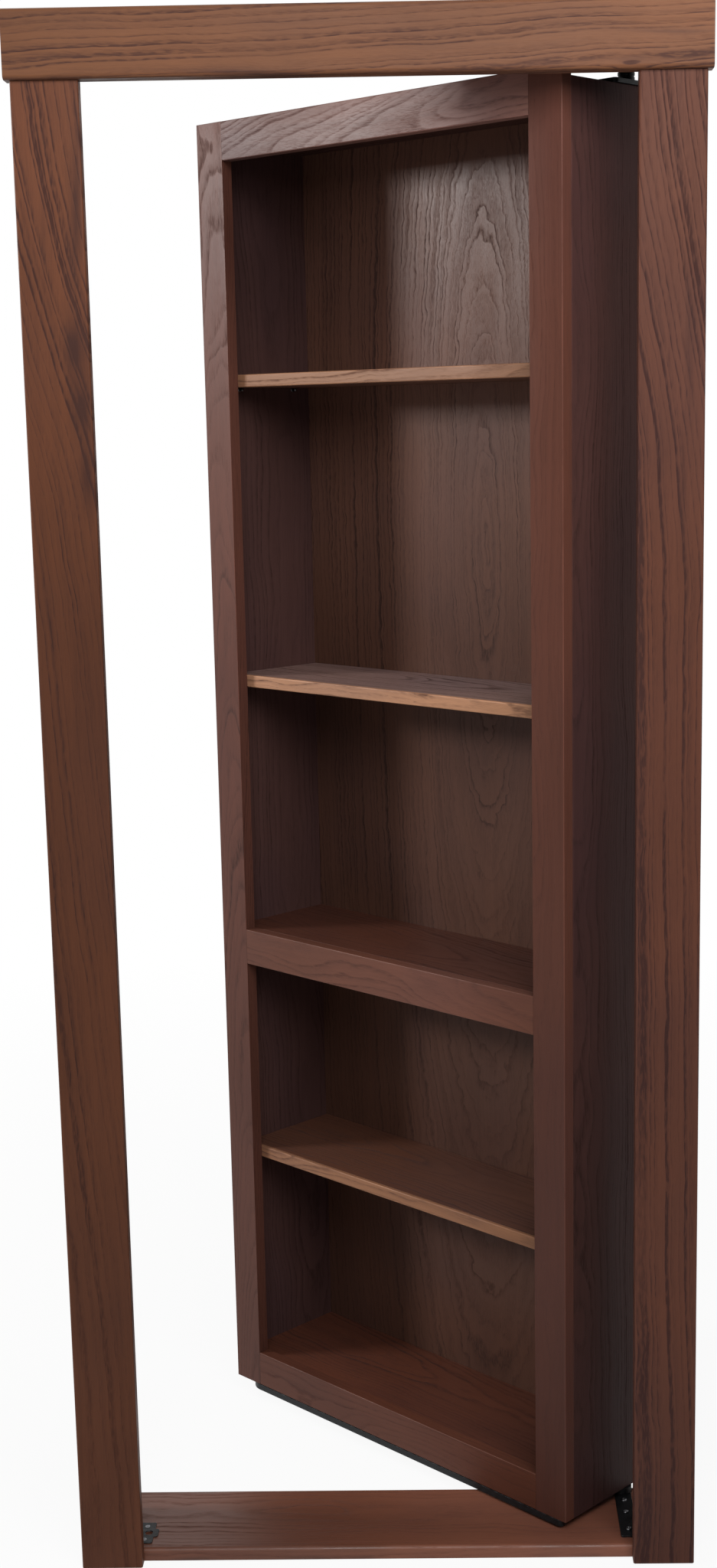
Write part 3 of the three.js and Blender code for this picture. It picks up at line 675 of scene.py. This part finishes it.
# The strike plate on the sill takes the ball of the catch: thin black steel with a hole, a lip that
# leads the ball in, and two flush screws. Behind its hole the sill is bored for the ball.
strike_corner, lip_corner = 0.003, 0.004
lip_reach, lip_half = 0.006, 0.011
ball_hole, ball_bore = 0.0055, 0.0046
catch_x, catch_y, ball_height = middle_of(place_of("catch_ball", turned=True))
strike_place = place_of("strike_plate")
(strike_left, strike_front, _), (lip_end, strike_rear, strike_top) = strike_place
strike_right = lip_end - lip_reach
strike_outline = (
    arc(strike_left + strike_corner, strike_front + strike_corner, strike_corner, 180, 270)
    + arc(strike_right - strike_corner, strike_front + strike_corner, strike_corner, 270, 360)
    + [(strike_right, catch_y - lip_half)]
    + arc(lip_end - lip_corner, catch_y - lip_half + lip_corner, lip_corner, 270, 360)
    + arc(lip_end - lip_corner, catch_y + lip_half - lip_corner, lip_corner, 0, 90)
    + [(strike_right, catch_y + lip_half)]
    + arc(strike_right - strike_corner, strike_rear - strike_corner, strike_corner, 0, 90)
    + arc(strike_left + strike_corner, strike_rear - strike_corner, strike_corner, 90, 180)
)
strike = cut_plate("strike_plate_steel", strike_outline, strike_place)
drill(strike, [
    (ball_hole, -0.0025), (ball_hole, -0.0006),
    (ball_hole + hole_mouth, 0.0001), (ball_hole + hole_mouth, 0.0015),
], (catch_x, catch_y, strike_top))
countersink = [(0.0023, -0.003), (0.0023, -0.0017), (0.0039, 0.0001), (0.0039, 0.001)]
flat_screw = wood_screw("flat_screw", 0.014, [(0.002, -0.0016), (0.0036, -0.00005), (0.0034, 0)])
for number, turn in enumerate((31, 55), 1):
    node = f"strike_screw_{number}"
    drill(strike, countersink, seat_of(node, strike_top))
    set_screw(flat_screw, node, "flat", strike_top, turn, "door_frame")
bpy.data.objects.remove(flat_screw)
dress(strike, black_steel, "door_frame", "strike_plate")
drill(sill, [(ball_bore, -0.002), (ball_bore, 0.001)], (catch_x, catch_y, sill_top))

# The case is an open oak box: two sides, a top, a bottom and a fixed shelf housed in grooves in the
# sides, and two bearers under the bottom that the steel plate is screwed to.
case_pale = (0.074, 0.034, 0.027)
case_boards = {
    "left_side": dict(
        grain="Z", face="X", pale=(0.079, 0.0385, 0.034), pith=(0.03, 0.08), lean=(0.02, 0.01),
        seed=13.1, gloss=0.11,
    ),
    # Painted shade: the right side is painted darker towards the floor.
    "right_side": dict(
        grain="Z", face="X", pale=(0.078, 0.034, 0.029), pith=(-0.09, 0.09), lean=(0.015, 0.005),
        seed=15.8, painted_light_ends=(0.72, 1.2), rough=0.42, gloss=0.07,
    ),
    "top_panel": dict(
        grain="X", face="Z", pale=case_pale, pith=(0.02, 0.1), lean=(0.02, 0.02),
        seed=17.3, rough=0.66, gloss=0.04,
    ),
    "bottom_panel": dict(
        grain="X", face="Z", pale=(0.102, 0.034, 0.02), pith=(0.03, -0.085), lean=(0.03, 0.02),
        seed=19.9, gloss=0.11,
    ),
    "fixed_shelf": dict(
        grain="X", face="Z", pale=(0.088, 0.031, 0.019), pith=(-0.02, -0.08), lean=(0.03, 0.02),
        seed=22.4, gloss=0.11,
    ),
    "front_bearer": dict(
        grain="X", face="Y", pale=case_pale, pith=(0.02, 0.06), lean=(0.02, 0.02),
        seed=24.2, rough=0.6, gloss=0.06,
    ),
    "rear_bearer": dict(
        grain="X", face="Y", pale=case_pale, pith=(0.01, 0.07), lean=(0.02, 0.02),
        seed=25.5, rough=0.6, gloss=0.06,
    ),
}
case_pieces = {}
for node, look in case_boards.items():
    place = place_of(node, turned=True)
    piece = board(node + "_board", place)
    settle(piece, swing_open)
    wood = stained_oak(
        node + "_oak", place, dark=(0.034, 0.0155, 0.013), figure=(0.5, 0.5), turned=True, **look,
    )
    dress(piece, wood, "bookcase", node)
    case_pieces[node] = piece

# The back is a sheet of oak-faced plywood fixed to the rear edges of the case, its veneer cut flat
# across the log so that the grain stands in tall arches.
back_place = place_of("back_panel", turned=True)
back = board("back_panel_sheet", back_place)
settle(back, swing_open)
# Painted light and shade: the back is painted darker low down and lighter towards the top.
back_wood = stained_oak(
    "back_panel_oak", back_place, "Z", "Y", pale=(0.134, 0.061, 0.041), dark=(0.052, 0.025, 0.019),
    pith=(0.04, -0.062), lean=(0.0, -0.15), seed=31.7, ring=0.0088, figure=(0.5, 1.1),
    painted_light_ends=(0.68, 1.1), painted_light_over=(0.15, 0.7), wander=0.014, ripple=0.006, choppy=34, streaky=0.4,
    turned=True, rough=0.34, dull_rings=0.28, gloss=0.095,
)
dress(back, back_wood, "bookcase", "back_panel")

# The face frame is butt-jointed from two stiles and three rails and glued to the front of the case.
# It is sanded flush, and its outer edges are just rounded, so they catch a thin line of light. A
# narrow band along the edges is also painted paler, partly as wear and partly as a painted highlight.
frame_round = 0.0015
# Painted light and shade: each board is painted darker or lighter from one end to the other.
frame_boards = {
    "left_stile": dict(
        grain="Z", pale=(0.122, 0.046, 0.032), dark=(0.05, 0.02, 0.0145), pith=(0.01, 0.075),
        lean=(0.01, -0.06), seed=41.0, ring=0.0045, figure=(0.65, 0.55), painted_light_ends=(0.72, 1.03),
        dull_rings=0.16,
    ),
    "right_stile": dict(
        grain="Z", pale=(0.122, 0.0445, 0.0295), dark=(0.059, 0.022, 0.015), pith=(-0.04, 0.07),
        lean=(0.01, 0.01), seed=43.3, figure=(0.25, 0.3), painted_light_ends=(0.77, 1.2), dull_rings=0.15,
    ),
    # Painted sheen: the top rail is painted almost twice as light towards its right end.
    "top_rail": dict(
        grain="X", pale=(0.128, 0.06, 0.047), dark=(0.055, 0.026, 0.022), pith=(-0.024, 0.06),
        lean=(-0.12, 0.08), seed=45.9, ring=0.006, figure=(0.35, 0.6), painted_light_ends=(1.1, 2.1),
        dull_rings=0.14,
    ),
    "middle_rail": dict(
        grain="X", pale=(0.129, 0.049, 0.031), dark=(0.06, 0.023, 0.0155), pith=(0.02, 0.07),
        lean=(0.02, 0.02), seed=47.2, figure=(0.6, 0.6), painted_light_ends=(0.98, 1.12), dull_rings=0.2,
    ),
    "bottom_rail": dict(
        grain="X", pale=(0.108, 0.0365, 0.0215), dark=(0.052, 0.0185, 0.0125), pith=(-0.02, 0.06),
        lean=(0.02, 0.02), seed=49.6, figure=(0.6, 0.6), painted_light_ends=(0.9, 0.95), dull_rings=0.2,
    ),
}


def joint_edges(place, grain):
    """The rule for the front edges at a joint: a stile's inner edge, and the ends of a rail."""
    inner, front = min(place[0][0], place[1][0], key=abs), place[0][1]

    def rule(edge):
        upright = lies_at(edge, 0, edge.verts[0].co.x)
        return lies_at(edge, 1, front) and upright and (grain == "X" or lies_at(edge, 0, inner))

    return rule


def outer_edges(place, grain):
    front, joint = front_edges(place, grain), joint_edges(place, grain)
    return lambda edge: front(edge) and not joint(edge)


for node, look in frame_boards.items():
    place, grain = place_of(node, turned=True), look["grain"]
    piece = board(
        node + "_board", place, outer_edges(place, grain), frame_round, 3, joint_edges(place, grain),
    )
    settle(piece, swing_open)
    wood = stained_oak(
        node + "_oak", place, face="Y", edge_band_width=0.0014, turned=True, rough=0.38, **look,
    )
    dress(piece, wood, "bookcase", node)

# The bookcase stands on a plate of black steel, 10 mm thick, screwed up into the bearers. A tab
# shows past the face frame, and an ear turns on the lower pin with a steel washer under it.
running_hole = 0.0053
washer_seat, seat_depth = 0.0118, 0.0025
washer_sides = 48
toe_corner, base_corner, tab_corner, tab_nook = 0.03, 0.012, 0.008, 0.004
tab_side, tab_end = 0.012, 0.024
base_right, tab_right = 0.342, 0.353
base_place = place_of("base_plate", turned=True)
(base_left, base_front, base_low), (ear_right, base_rear, _) = base_place
ear = ear_right - pivot.x
base_outline = (
    arc(base_left + toe_corner, base_front + toe_corner, toe_corner, 180, 270, 14)
    + arc(tab_right - tab_corner, base_front + tab_corner, tab_corner, 270, 360)
    + arc(tab_right - tab_corner, base_front + tab_side, tab_corner, 0, 60)
    + arc(base_right + tab_nook, base_front + tab_end, tab_nook, 270, 180, 5)
    + [(base_right, pivot.y - ear)]
    + arc(pivot.x, pivot.y, ear, -90, 90, 16)
    + [(base_right, pivot.y + ear)]
    + arc(base_right - base_corner, base_rear - base_corner, base_corner, 0, 90)
    + arc(base_left + base_corner, base_rear - base_corner, base_corner, 90, 180)
)
base_plate = cut_plate("base_plate_steel", base_outline, base_place)
drill(base_plate, [
    (washer_seat, -0.0007), (washer_seat, seat_depth), (running_hole, seat_depth), (running_hole, 0.0113),
], on_pivot(base_low))
heavy_sink = [(0.0055, -0.001), (0.0055, -0.0001), (0.0028, 0.0031), (0.0028, 0.011)]
heavy_screw = wood_screw("heavy_screw", 0.03, [(0.0025, -0.003), (0.0052, -0.00005), (0.005, 0)], 1.25)
for number, turn in enumerate((15, 70, 33, 58), 1):
    node = f"base_plate_screw_{number}"
    drill(base_plate, heavy_sink, seat_of(node, base_low, turned=True))
    set_screw(heavy_screw, node, "flat", base_low, turn, "bookcase", point_up)
bpy.data.objects.remove(heavy_screw)
settle(base_plate, swing_open)
dress(base_plate, black_steel, "bookcase", "base_plate")

washer_low = place_of("lower_thrust_washer")[0][2]
washer = lathe("lower_thrust_washer_ring", [
    (0.0112, 0), (0.0115, 0.0003), (0.0115, 0.0023), (0.0112, 0.0026),
], on_pivot(washer_low), washer_sides)
drill(washer, [(running_hole, -0.0013), (running_hole, 0.0037)], on_pivot(washer_low), washer_sides)
dress(washer, dull_zinc, "bookcase", "lower_thrust_washer")

# On top of the case a second black plate carries the bearing that the upper pin turns in: a steel
# ring with a grooved rim. Two screws hold the plate down to the top panel.
bearing_mouth = 0.0005
top_place = place_of("top_pivot_plate", turned=True)
top_low = top_place[0][2]
bearing_low = place_of("upper_bearing")[0][2]
top_plate = cut_plate(
    "top_pivot_plate_steel", four_corners(top_place, plate_corner, plate_corner), top_place,
)
drill(top_plate, [(running_hole, -0.0013), (running_hole, 0.0077)], on_pivot(top_low))
settle(top_plate, swing_open)
dress(top_plate, black_steel, "bookcase", "top_pivot_plate")
bearing = lathe("upper_bearing_ring", [
    (0.0111, 0), (0.0115, 0.0004), (0.0115, 0.0038), (0.0108, 0.0044), (0.0108, 0.006),
    (0.0115, 0.0066), (0.0115, 0.0101), (0.0111, 0.0105), (0.0092, 0.0105), (0.009, 0.0101),
    (0.0072, 0.0101), (0.007, 0.0105),
], on_pivot(bearing_low), washer_sides)
drill(bearing, [
    (running_hole, -0.0006), (running_hole, 0.0099),
    (running_hole + bearing_mouth, 0.0106), (running_hole + bearing_mouth, 0.0114),
], on_pivot(bearing_low), washer_sides)
dress(bearing, black_steel, "bookcase", "upper_bearing")
long_screw = wood_screw("long_screw", 0.021, pan_head)
top_screw_seat = place_of("top_plate_screw_1")[1][2] - pan_top
for number, turn in enumerate((25, 80), 1):
    set_screw(long_screw, f"top_plate_screw_{number}", "pan", top_screw_seat, turn, "bookcase")
bpy.data.objects.remove(long_screw)

# The ball catch is let into the bottom edge of the left side: a brass barrel with a flange, and in
# it a spring of steel wire that presses a steel ball down into the strike plate.
barrel_radius, flange_radius, barrel_bore, barrel_neck = 0.007, 0.009, 0.0063, 0.0056
barrel_sides = 48
barrel_foot = (catch_x, catch_y, place_of("catch_barrel")[0][2])
barrel = lathe("catch_barrel_brass", [
    (0.0067, 0), (barrel_radius, 0.0003), (barrel_radius, 0.0092), (0.0088, 0.0092),
    (flange_radius, 0.0094), (flange_radius, 0.0115), (0.0088, 0.0117), (barrel_radius, 0.0117),
    (barrel_radius, 0.0407), (0.0067, 0.041),
], barrel_foot, barrel_sides)
drill(barrel, [
    (barrel_neck, -0.0005), (barrel_neck, 0.0006), (barrel_bore, 0.0007), (barrel_bore, 0.0396),
], barrel_foot, barrel_sides)
settle(barrel, swing_open)
brass = metal("drawn_brass", (0.5, 0.34, 0.13), (0.72, 0.55, 0.24), 0.3, grime=0.15, brushed=(1, 1, 6))
dress(barrel, brass, "bookcase", "catch_barrel")

ball_radius = 0.006
bpy.ops.object.select_all(action="DESELECT")
bpy.ops.mesh.primitive_cube_add(size=ball_radius, location=(0, 0, 0))
ball = started("catch_ball_steel")
bpy.ops.object.mode_set(mode="EDIT")
bpy.ops.mesh.select_all(action="SELECT")
bpy.ops.mesh.subdivide(number_cuts=11)
bpy.ops.transform.tosphere(value=1)
bpy.ops.object.mode_set(mode="OBJECT")
reach = sum(vertex.co.length for vertex in ball.data.vertices) / len(ball.data.vertices)
settle(ball, Matrix.Translation((catch_x, catch_y, ball_height)) @ Matrix.Scale(ball_radius / reach, 4))
bpy.ops.object.shade_smooth()
settle(ball, swing_open)
dress(ball, turned_steel, "ball", "catch_ball")

wire_radius, coil_radius, coil_turns, steps_a_turn = 0.0006, 0.0046, 7, 28
spring_low, spring_high = 0.0338, 0.0596
bpy.ops.object.select_all(action="DESELECT")
bpy.ops.mesh.primitive_circle_add(
    vertices=10, radius=wire_radius, fill_type="NOTHING", location=(coil_radius, 0, 0),
    rotation=(math.pi / 2, 0, 0),
)
spring = started("catch_spring_wire")
bpy.ops.object.modifier_add(type="SCREW")
winding = spring.modifiers[-1]
winding.axis = "Z"
winding.angle = 2 * math.pi
winding.screw_offset = (spring_high - spring_low) / coil_turns
winding.iterations = coil_turns
winding.steps = winding.render_steps = steps_a_turn
bpy.ops.object.modifier_apply(modifier=winding.name)
bpy.ops.object.mode_set(mode="EDIT")
bpy.ops.mesh.select_all(action="SELECT")
bpy.ops.mesh.remove_doubles(threshold=1e-7)
bpy.ops.mesh.select_all(action="DESELECT")
bpy.ops.mesh.select_mode(type="EDGE")
bpy.ops.mesh.select_non_manifold()
bpy.ops.mesh.edge_face_add()
turn_outwards()
bpy.ops.object.shade_smooth_by_angle(angle=smooth_below)
settle(spring, swing_open @ Matrix.Translation((catch_x, catch_y, spring_low)))
dress(spring, turned_steel, "bookcase", "catch_spring")

side_bore = 0.0073
drill(case_pieces["left_side"], [(side_bore, 0.009), (side_bore, 0.0413)], swing_open @ Vector(barrel_foot))

# Each loose shelf lies on four turned steel pins, pushed into holes in the sides. A collar stops a
# pin at the wood.
side_face = place_of("right_side", turned=True)[0][0]
shelf_pin = lathe("shelf_pin", [
    (0.0021, -0.008), (0.0025, -0.0075), (0.0025, 0.0001), (0.0033, 0.0003), (0.0036, 0.0005),
    (0.0036, 0.001), (0.0033, 0.0012), (0.0025, 0.0012), (0.0025, 0.0085), (0.0021, 0.009),
], (0, 0, 0), 28)
for shelf in ("lower_shelf", "second_shelf", "upper_shelf"):
    for number, side in enumerate((-1, -1, 1, 1), 1):
        node = f"{shelf}_pin_{number}"
        middle = middle_of(place_of(node, turned=True))
        aim = Matrix.Rotation(-side * math.pi / 2, 4, "Y")
        pin_place = (side * side_face, middle.y, middle.z)
        pin = set_copy(shelf_pin, node + "_collared", pin_place, aim, turned=True)
        dress(pin, turned_steel, "bookcase", node)
bpy.data.objects.remove(shelf_pin)

# The loose shelves are oak-faced boards with a strip of solid oak glued along the front edge. The
# strip is sanded more and takes the stain paler, and its corners are rounded.
edging_width, edging_round = 0.006, 0.002
shelf_dark, edging_dark = (0.07, 0.034, 0.026), (0.12, 0.055, 0.034)
# Painted sheen and shade: the second shelf and its edging are painted lighter and greyer, the lower shelf
# darker.
for node, body, pale, edging_pale, seed in (
    ("lower_shelf", "low_shelf", (0.112, 0.045, 0.027), (0.26, 0.12, 0.062), 51.4),
    ("second_shelf", "mid_shelf", (0.25, 0.155, 0.135), (0.42, 0.21, 0.115), 53.8),
    ("upper_shelf", "high_shelf", (0.165, 0.073, 0.045), (0.28, 0.135, 0.072), 56.1),
):
    low, high = place_of(node, turned=True)
    joint = low[1] + edging_width
    behind = [low[0], joint, low[2]], high
    ahead = low, [high[0], joint, high[2]]
    piece = board(node + "_board", behind)
    settle(piece, swing_open)
    wood = stained_oak(
        node + "_oak", behind, "X", "Z", pale, shelf_dark,
        pith=(0.02, -0.07), lean=(0.03, 0.03), seed=seed, turned=True,
    )
    dress(piece, wood, body, node)
    strip = board(node + "_edging", ahead, front_edges(ahead, "X"), edging_round, 4)
    settle(strip, swing_open)
    wood = stained_oak(
        node + "_edging_oak", ahead, "X", "Y", edging_pale, edging_dark,
        pith=(0.02, -0.04), lean=(0.02, 0.03), seed=seed + 0.9, turned=True,
    )
    dress(strip, wood, body, node)

# The floor and the light: a plain pale floor, a wide soft lamp above the front and a smaller one at
# the left, and a pale surround. Seen directly or in a gloss, floor and surround are near white.
white = (1, 1, 1, 1)
floor_colour = (0.82, 0.82, 0.82, 1)
shaded_floor, shade_between = 0.92, (0.6, 3.5)
ambient_level = 0.19
bpy.ops.object.select_all(action="DESELECT")
bpy.ops.mesh.primitive_plane_add(size=40, location=(0, 0, 0))
floor = started("floor")
paint = bpy.data.materials.new("floor_paint")
paint.use_nodes = True
tree = paint.node_tree
tree.nodes.remove(tree.nodes["Principled BSDF"])
nodes = FinishNodes(tree)
rays = nodes.put("LightPath", {}).node.outputs
seen = nodes.sums("MAXIMUM", rays["Is Camera Ray"], rays["Is Glossy Ray"])
distance = nodes.vectors("LENGTH", nodes.put("TexCoord", {}, "Object"), out="Value")
shown = nodes.sums("MULTIPLY", seen, nodes.remap(distance, shade_between, (shaded_floor, 1.0)))
matt = nodes.put("BsdfDiffuse", {"Color": floor_colour})
glow = nodes.put("Emission", {"Color": white, "Strength": 1})
surface = nodes.put("MixShader", {0: shown, 1: matt, 2: glow})
nodes.fill(tree.nodes["Material Output"], {"Surface": surface})
floor.data.materials.append(paint)

world = bpy.data.worlds.new("surround")
bpy.context.scene.world = world
world.use_nodes = True
tree = world.node_tree
nodes = FinishNodes(tree)
rays = nodes.put("LightPath", {}).node.outputs
seen = nodes.sums("MAXIMUM", rays["Is Camera Ray"], rays["Is Glossy Ray"])
seen = nodes.sums("MAXIMUM", seen, rays["Is Transmission Ray"])
ambient = tree.nodes["Background"]
nodes.fill(ambient, {"Color": white, "Strength": ambient_level})
backdrop = nodes.put("Background", {"Color": white, "Strength": 1})
surface = nodes.put("MixShader", {0: seen, 1: ambient.outputs["Background"], 2: backdrop})
nodes.fill(tree.nodes["World Output"], {"Surface": surface})


def soft_lamp(name, place, aim, width, height, power):
    bpy.ops.object.light_add(type="AREA", location=place)
    lamp = bpy.context.object
    lamp.name = name
    lamp.data.shape = "RECTANGLE"
    lamp.data.size = width
    lamp.data.size_y = height
    lamp.data.energy = power
    toward = Vector(aim) - Vector(place)
    lamp.rotation_euler = toward.to_track_quat("-Z", "Y").to_euler()


soft_lamp("front_lamp", (0.5, -2.2, 2.8), (0, 0, 1.5), width=2.4, height=1.4, power=69)
soft_lamp("left_lamp", (-4.2, 0.1, 2.5), (0, 0.35, 1.8), width=0.9, height=0.6, power=115)

# The camera stands a little right of the middle, at eye height, and looks slightly down. It is
# tipped by its roll and moved by its shift as the photograph is.
camera_yaw, camera_pitch, camera_roll = 0.01352, -0.18518, 0.01578
camera_data = bpy.data.cameras.new("camera")
camera_data.lens = 47.519
camera_data.sensor_width = 36
camera_data.shift_x = -0.0385
camera_data.shift_y = 0.0179
camera = bpy.data.objects.new("camera", camera_data)
bpy.context.scene.collection.objects.link(camera)
level_aim = Euler((math.pi / 2 + camera_pitch, 0, camera_yaw)).to_matrix()
camera.rotation_euler = (level_aim @ Matrix.Rotation(-camera_roll, 3, "Z")).to_euler()
camera.location = (0.0989, -2.7496, 1.6162)
bpy.context.scene.camera = camera
bpy.context.scene.view_settings.view_transform = "Standard"
